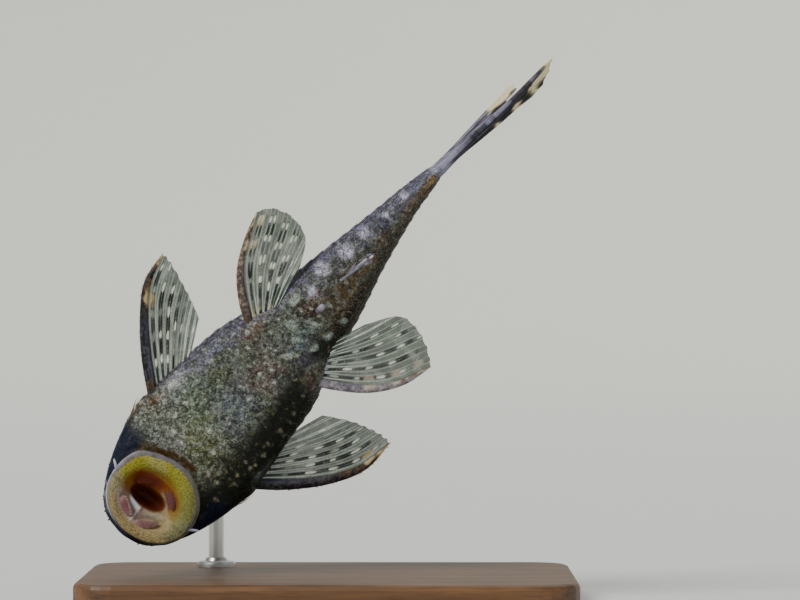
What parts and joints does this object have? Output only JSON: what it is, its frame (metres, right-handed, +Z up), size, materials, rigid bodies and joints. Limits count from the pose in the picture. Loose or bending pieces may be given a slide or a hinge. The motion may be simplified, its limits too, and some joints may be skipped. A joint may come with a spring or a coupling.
{
  "type": "bristlenose pleco display model",
  "caption": "Young bristlenose pleco, life size, belly to the front with head down and tail raised, sucker mouth open and fins spread, held by a rod over a flat base.",
  "frame": {"origin": "centre of the underside of the stand's base, under the fish", "axes": "+Z up and along the base's normal; -Y is the front, which the belly faces; +X to the right, the side that the tail rises towards"},
  "size_m": [0.062, 0.04, 0.0687],
  "materials": {
    "skin": "dark brown plated skin with small cream spots and a lilac-grey sheen, wet",
    "lip": "ochre-yellow papillose lip with a greyish lilac rim",
    "papilla": "soft whitish lilac skin",
    "gum": "moist pink to brownish red pads with fine amber teeth",
    "eye": "clear cornea over a brown-gold iris",
    "fin": "clear membrane between rays with dark and cream dashes in bands",
    "wood": "dark walnut with a satin varnish",
    "steel": "brushed steel rod"
  },
  "bodies": {
    "root": {"head": "skin", "torso": "skin", "tail": "skin", "oral_disc": "lip", "vent_papilla": "papilla", "premaxilla_left": "gum", "premaxilla_right": "gum", "dentary_left": "gum", "dentary_right": "gum", "eye_left": "eye", "eye_right": "eye", "pectoral_fin_left": "fin", "pectoral_fin_right": "fin", "pelvic_fin_left": "fin", "pelvic_fin_right": "fin", "dorsal_fin": "fin", "adipose_fin": "fin", "anal_fin": "fin", "caudal_fin": "fin", "stand_base": "wood", "stand_rod": "steel"}
  },
  "joints": []
}
